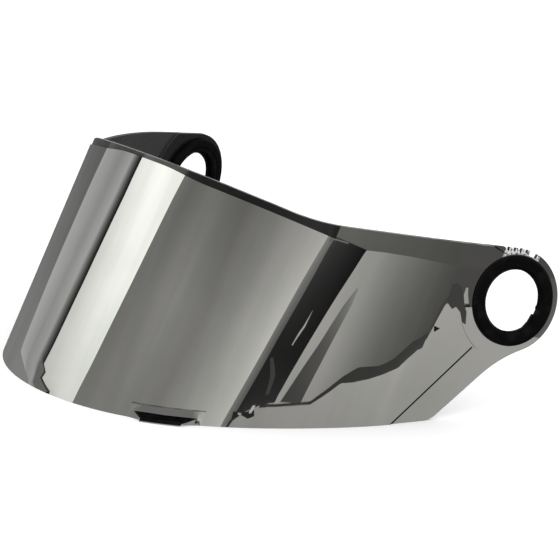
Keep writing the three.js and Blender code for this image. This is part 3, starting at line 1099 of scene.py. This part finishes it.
def makeCamera():
    az, el, roll = camera["azimuth"], camera["elevation"], camera["roll"]
    back = Vector((math.sin(az) * math.cos(el), -math.cos(az) * math.cos(el), math.sin(el)))
    right = Vector((math.cos(az), math.sin(az), 0))
    up = back.cross(right)
    target = Vector(camera["aim"]) + right * camera["slide"][0] + up * camera["slide"][1]
    rolledRight = right * math.cos(roll) + up * math.sin(roll)
    rolledUp = up * math.cos(roll) - right * math.sin(roll)
    bpy.ops.object.camera_add()
    obj = bpy.context.object
    obj.data.sensor_width = camera["sensor"]
    obj.data.lens = camera["sensor"] * camera["focalPixels"] / camera["framePixels"]
    obj.data.clip_end = camera["clipEnd"]
    turn = Matrix((rolledRight, rolledUp, back)).transposed().to_4x4()
    turn.translation = (target + back * camera["distance"]) * mm
    obj.matrix_world = turn
    bpy.context.scene.camera = obj
    return obj


cameraObject = makeCamera()

# the studio: a pale floor, soft light all round, and cards out of the camera's sight that the
# mirror coat shows. a card lies between lines of the flat pattern, from foot to top; the tones at
# a line's foot, middle and top are how light the card looks there in the coat
studio = {
    "centre": (0, 20, 50),
    "radius": 900,
    "layerGap": 10,
    "rows": 90,
    "columns": 10,
    "coatShare": 0.8,
    "neutral": (1, 1, 1),
    "warm": (1, 0.985, 0.95),
    "greenish": (0.985, 1, 0.955),
    "markTint": (1, 1, 0.96),
    "cloud": {"Scale": 5, "Detail": 4, "Low": 0.32, "High": 0.68},
    "cloudCool": (0.935, 0.95, 0.935),
    "cloudWarm": (1.06, 1.055, 1.05),
}
# edges that more than one line follows, and places across that two lines share
windowSide = [
    (-22.8, 21.6), (-22.1, 31.9), (-21.4, 42.2), (-20.6, 52.4), (-20, 62.7), (-19.3, 72.9),
    (-18.6, 83.2), (-17.8, 93.4), (-17.3, 103.7), (-16.6, 113.5), (-15.8, 126),
]
doorSide = [
    (86.6, 23.5), (88.1, 35.6), (89.6, 47.6), (90.9, 59.7), (92.2, 71.8), (93.6, 83.9), (95, 96),
    (96.5, 108.1),
]
tableAcross = [
    84, 93, 98.2, 118.6, 127.8, 139.6, 149.3, 156.9, 159.6, 163, 170, 176, 192, 205, 222,
]
ceilingAcross = [98, 104.3, 107, 114.7, 122.8, 136.2, 160, 180, 224]


def shifted(points, by):
    return [(round(u + by, 1), v) for u, v in points]


lines = {
    "farLimb": [(-72, -8), (-72, 126)],
    "farPanel": [
        (-8, -8), (-15.5, 2.2), (-27, 9), (-33, 12.5), (-34, 17.8), (-34.8, 32.2), (-35.4, 46.7),
        (-35.3, 61.3), (-34.8, 75.9), (-34.2, 90.5), (-33, 105.3), (-32, 114), (-31, 126),
    ],
    "blind": [(-18, -8), (-21.5, 6), (-24, 11.2), *windowSide],
    "frame": [(-12, -8), (-14.6, 6), (-16, 11.2), *shifted(windowSide, 8)],
    "windowLeft": [
        (3, -8), (1.8, 1.5), (-0.5, 2.3), (-6.7, 5.4), (-5.8, 8.3), (-9.5, 11.2),
        *shifted(windowSide, 14.6),
    ],
    "windowMiddle": [(9, -8), (8, 30), (12, 90), (13.5, 126)],
    "windowRight": [
        (16.6, -8), (17.6, 8), (18.8, 19.5), (19.6, 29.8), (20.3, 40), (21, 50.2), (21.7, 60.5),
        (22.4, 70.7), (23.1, 80.9), (23.8, 91.1), (24.6, 101.4), (25.7, 111.7), (26.8, 126),
    ],
    "wallEdge": [(24, -8), (29, 60), (32, 126)],
    "wallA": [(42, -8), (45, 60), (43, 126)],
    "wallB": [(56, -8), (60, 60), (58, 126)],
    "wallC": [(74, -8), (76, 60), (75, 126)],
    "wallD": [(83, -8), *doorSide, (98.9, 126)],
    "shadeEnd": [(86.6, -8), *shifted(doorSide, 3.6), (102.5, 126)],
    "doorLeft": [(84.5, 6), *shifted(doorSide, 3.1), (100.4, 112)],
    "doorRight": [
        (86.5, 6), (88, 14), (90, 21), (93, 26), (97.5, 31), (103.8, 35), (103.9, 38.2),
        (105, 48.4), (106.4, 58.6), (107.9, 68.8), (109.4, 79.2), (111.1, 89.5), (113, 99.9),
        (114.9, 110.4), (115.4, 112),
    ],
    "postLeft": [
        (105.8, 36.2), (107.6, 45), (109.5, 55.2), (111.7, 65.6), (113.4, 75.7), (115.3, 85.9),
        (117.8, 95),
    ],
    "postRight": [
        (114.4, 39), (115, 48), (115.9, 57.9), (116.7, 67.7), (117.6, 77.4), (118.5, 87.3),
        (118.6, 95),
    ],
    "sideStart": [(100, 20), (100, 126)],
    "sideBright": [(117, 20), (121, 126)],
    "sideMiddle": [(137, 20), (140, 126)],
    "sideEnd": [(158, 20), (158, 126)],
    "earSide": [(160, 20), (160, 160)],
    "earMiddle": [(196, 20), (196, 160)],
    "earEnd": [(224, 20), (224, 160)],
    "skirtTop": [
        (97.8, 31.5), (105.9, 35.4), (114.1, 39.5), (118.1, 41.5), (119.8, 44.3), (123.1, 49.5),
        (127.5, 57.2), (130.4, 61.1), (132.6, 63.6), (141.2, 67.7), (146, 72.7), (149.2, 78.8),
        (151.8, 83.6), (155.2, 86.9), (157.1, 92.1), (157.6, 97.6), (158.1, 104.3), (159.5, 108.1),
    ],
    "skirtFoot": [
        (98.2, 30.3), (106.3, 34.2), (114.5, 38.3), (118.6, 40.2), (120.7, 43.1), (124.3, 48.3),
        (127.8, 54.1), (132.5, 56.3), (139.6, 61), (144.7, 65.2), (150, 70.3), (152.6, 75.9),
        (156, 81.6), (157.4, 86), (158.1, 91.3), (158.7, 97.2), (159.6, 104), (160.8, 107.3),
    ],
    "tableTop": [*zip(tableAcross, (
        12, 26, 30.6, 40.6, 54.5, 62, 71.5, 87, 104, 108, 107.5, 107.5, 104, 106, 109,
    ))],
    "tableFoot": [*zip(tableAcross, (-10, -8, -8, -4, 0, 4, 10, 20, 26, 30, 34, 38, 44, 50, 60))],
    "ceilingFoot": [*zip(ceilingAcross, (108.6, 111.5, 109.6, 111.6, 114, 117.3, 122, 128, 138))],
    "ceilingTop": [*zip(ceilingAcross, (140, 140, 140, 140, 140, 142, 148, 156, 170))],
}
# name, layer in front of the wall, tint, and the lines with their tones
cards = [
    ("farPanel", 0, "neutral", [("farLimb", 112, 110, 104), ("farPanel", 128, 108, 90)]),
    ("blind", 0, "neutral", [
        ("farPanel", 152, 160, 158), ("blind", 134, 140, 134), ("frame", 148, 158, 158),
        ("windowLeft", 30, 16, 10),
    ]),
    ("window", 0, "greenish", [
        ("windowLeft", 182, 200, 234), ("windowMiddle", 200, 236, 255),
        ("windowRight", 214, 244, 230),
    ]),
    ("wall", 0, "warm", [
        ("windowRight", 117, 108, 112), ("wallEdge", 118, 112, 98), ("wallA", 120, 130, 106),
        ("wallB", 112, 114, 88), ("wallC", 156, 148, 114), ("wallD", 178, 182, 164),
    ]),
    ("shade", 0, "warm", [("wallD", 122, 112, 126), ("shadeEnd", 84, 78, 104)]),
    ("side", 0, "warm", [
        ("sideStart", 150, 158, 160), ("sideBright", 136, 146, 142), ("sideMiddle", 94, 96, 104),
        ("sideEnd", 66, 69, 72),
    ]),
    ("earWall", 0, "warm", [
        ("sideEnd", 66, 69, 72), ("earSide", 66, 68, 70), ("earMiddle", 66, 66, 68),
        ("earEnd", 112, 116, 92),
    ]),
    ("table", 1, "warm", [("tableFoot", 126, 134, 160), ("tableTop", 136, 158, 150)]),
    ("skirt", 2, "warm", [("skirtFoot", 44, 56, 70), ("skirtTop", 48, 54, 58)]),
    ("door", 3, "neutral", [("doorLeft", 38, 34, 58), ("doorRight", 70, 28, 22)]),
    ("post", 2, "warm", [("postLeft", 60, 76, 118), ("postRight", 66, 84, 134)]),
    ("ceiling", 2, "warm", [("ceilingFoot", 96, 72, 68), ("ceilingTop", 104, 72, 68)]),
]
# small things in the room: layer, tone and an outline in the flat pattern
marks = {
    "glint": (4, 150, [(103.6, 79), (102.6, 70.5), (100.8, 61), (101.6, 61), (103.3, 70.5)]),
    "streak": (4, 62, [(94.4, 52), (95.2, 53), (99.5, 46), (100, 37.5), (98.6, 36.4), (97.5, 44)]),
    "lintel": (5, 104, [(99.4, 110.2), (106.6, 111.2), (106.6, 111.8), (99.4, 111)]),
    "tick": (3, 25, [(158.3, 93.4), (161.8, 93.4), (159.6, 90.8)]),
    "hook": (3, 60, [
        (158.8, 113), (159.8, 105.2), (163.6, 103.3), (165.1, 104.9), (168.1, 103.6),
        (171.1, 99.9), (174.1, 99.6), (172.1, 104.6), (168.5, 108.5), (165.5, 113.1),
        (161.3, 114.8),
    ]),
    "slot": (4, 148, [
        (169.3, 107.8), (167.2, 111.2), (166.9, 114.4), (167.9, 114.9), (169.2, 112),
        (171.4, 108.6),
    ]),
    "bracket": (4, 35, [(169.6, 107.3), (172.3, 108.3), (172.8, 107.3), (170.1, 106.3)]),
    "cornerA": (5, 176, [(95.2, 30.2), (96.3, 30.6), (95.8, 26.8), (94.9, 26.4)]),
    "cornerB": (5, 150, [(90.6, 25), (92.2, 25.2), (92, 24), (90.8, 24)]),
    "cornerC": (3, 38, [
        (88.5, 24.5), (93.6, 26.4), (96.4, 28.6), (97.6, 26.2), (95.4, 24), (92.4, 24.4),
        (89, 21.4),
    ]),
    "lump": (1, 98, [
        (-13.6, 12.4), (-10.2, 11.2), (-6.6, 8.4), (-7.4, 5.4), (-1.6, 2.3), (1.2, 1.2), (-4, -1),
        (-12, 2),
    ]),
    "lumpEdge": (2, 52, [
        (-10.2, 12), (-9.2, 11.3), (-5.9, 8.4), (-6.8, 5.6), (-0.8, 2.4), (1.9, 1.3), (0.9, 0.8),
        (-1.9, 1.9), (-8.1, 5.2), (-7.2, 8.2),
    ]),
}


# the light that makes a panel look this tone, of 255, in the coat
def linearTone(tone):
    return ((tone / 255 + 0.055) / 1.055) ** 2.4 / studio["coatShare"]


# the place in the room that the camera sees in the coat at (u, v)
def mirroredPlace(u, v, layer):
    place = bentPoint(u, v, 0)
    normal = (bentPoint(u, v, 1) - place).normalized()
    sight = (place - cameraObject.matrix_world.translation).normalized()
    ray = sight.reflect(normal)
    radius = (studio["radius"] - layer * studio["layerGap"]) * mm
    toCentre = Vector(studio["centre"]) * mm - place
    middle = toCentre.dot(ray)
    reach = middle + math.sqrt(radius ** 2 - toCentre.length_squared + middle ** 2)
    return place + ray * reach


def alongLine(points, share):
    lengths = [math.dist(a, b) for a, b in zip(points, points[1:])]
    left = share * sum(lengths)
    for k, length in enumerate(lengths):
        if left <= length or k == len(lengths) - 1:
            t = min(left / length, 1)
            return [a * (1 - t) + b * t for a, b in zip(points[k], points[k + 1])]
        left -= length


def makeGlow():
    material = bpy.data.materials.new("panelGlow")
    material.use_nodes = True
    tree = material.node_tree
    tree.nodes.clear()
    tone = tree.nodes.new("ShaderNodeAttribute")
    tone.attribute_name = "tone"
    # the panels are a little cloudy, cooler in some places than in others
    mask = placed(tree, mottleGroup, **studio["cloud"])["Mask"]
    cloud = blended(tree, mask, studio["cloudCool"], studio["cloudWarm"])
    clouded = vectorNode(tree, "MULTIPLY", tone.outputs["Color"], cloud)
    glow = addNode(tree, "ShaderNodeEmission", Color=clouded)
    addNode(tree, "ShaderNodeOutputMaterial", Surface=glow.outputs[0])
    return material


panelGlow = makeGlow()


# which two of the values a share lies between, and how far from the first
def between(values, share):
    place = share * (len(values) - 1)
    k = min(int(place), len(values) - 2)
    return k, place - k


def cardPoint(laid, x, y):
    k, t = between(laid, x)
    ends = []
    for name, *tones in laid[k:k + 2]:
        j, r = between(tones, y)
        ends.append((*alongLine(lines[name], y), tones[j] * (1 - r) + tones[j + 1] * r))
    return [a * (1 - t) + b * t for a, b in zip(*ends)]


# each vertex goes where the coat shows it at its (u, v), with its tone
def layOut(obj, name, layer, tint, places):
    obj.name = name + "Card"
    glow = obj.data.attributes.new("tone", "FLOAT_COLOR", "POINT")
    for vertex, value, (u, v, tone) in zip(obj.data.vertices, glow.data, places):
        vertex.co = mirroredPlace(u, v, layer)
        value.color = (*[linearTone(tone) * c for c in studio[tint]], 1)
    obj.data.materials.append(panelGlow)
    obj.visible_camera = False
    obj.visible_diffuse = False
    obj.visible_shadow = False


def makeCard(name, layer, tint, laid):
    columns = studio["columns"] * (len(laid) - 1)
    bpy.ops.mesh.primitive_grid_add(x_subdivisions=columns, y_subdivisions=studio["rows"], size=1)
    obj = bpy.context.object
    corner = Vector((0.5, 0.5, 0))
    places = [cardPoint(laid, *(vertex.co + corner).xy) for vertex in obj.data.vertices]
    layOut(obj, name, layer, tint, places)


def makeMark(name, layer, tone, outline):
    bpy.ops.mesh.primitive_circle_add(vertices=len(outline), fill_type="NGON")
    layOut(bpy.context.object, name, layer, "markTint", [(u, v, tone) for u, v in outline])


for card in cards:
    makeCard(*card)
for name, mark in marks.items():
    makeMark(name, *mark)
print(len(cards), "cards and", len(marks), "marks stand round the lens")

floorLook = {"size": 30, "color": (0.92, 0.92, 0.92), "roughness": (0.9,), "glow": 0.22}
bpy.ops.mesh.primitive_plane_add(size=floorLook["size"], location=(0, 0, 0))
floor = bpy.context.object
floor.name = "floor"
paleFloor = Finish("paleFloor", floorLook, Emission_Color=(1, 1, 1),
                   Emission_Strength=floorLook["glow"])
floor.data.materials.append(paleFloor.material)
floor.visible_glossy = False

# glossy rays meet a greyer room than the camera and the soft light do, given by its greys at
# shares of the way from straight down to straight up
light = {
    "room": (1, 1, 1),
    "strength": 1.12,
    "mirroredRoom": ((0, 0.09), (0.42, 0.13), (0.6, 0.32), (0.72, 0.3), (0.9, 0.17)),
}


def makeWorld():
    world = bpy.data.worlds.new("studio")
    bpy.context.scene.world = world
    world.use_nodes = True
    tree = world.node_tree
    soft = filled(tree, tree.nodes["Background"],
                  {"Color": light["room"], "Strength": light["strength"]})
    direction = tree.nodes.new("ShaderNodeTexCoord").outputs["Generated"]
    upward = addNode(tree, "ShaderNodeSeparateXYZ", Vector=direction).outputs[2]
    heights = tree.nodes.new("ShaderNodeValToRGB")
    ramp = heights.color_ramp
    ramp.interpolation = "EASE"
    while len(ramp.elements) < len(light["mirroredRoom"]):
        ramp.elements.new(0.5)
    for element, (share, grey) in zip(ramp.elements, light["mirroredRoom"]):
        element.position = share
        element.color = (grey, grey, grey, 1)
    tree.links.new(mathNode(tree, "MULTIPLY_ADD", upward, 0.5, 0.5), heights.inputs[0])
    mirrored = addNode(tree, "ShaderNodeBackground", Color=heights.outputs[0])
    rays = tree.nodes.new("ShaderNodeLightPath")
    chosen = tree.nodes.new("ShaderNodeMixShader")
    sources = (rays.outputs["Is Glossy Ray"], soft.outputs[0], mirrored.outputs[0])
    for source, socket in zip(sources, chosen.inputs):
        tree.links.new(source, socket)
    tree.links.new(chosen.outputs[0], tree.nodes["World Output"].inputs[0])


makeWorld()
bpy.context.scene.view_settings.view_transform = "Standard"
print("studio ready")
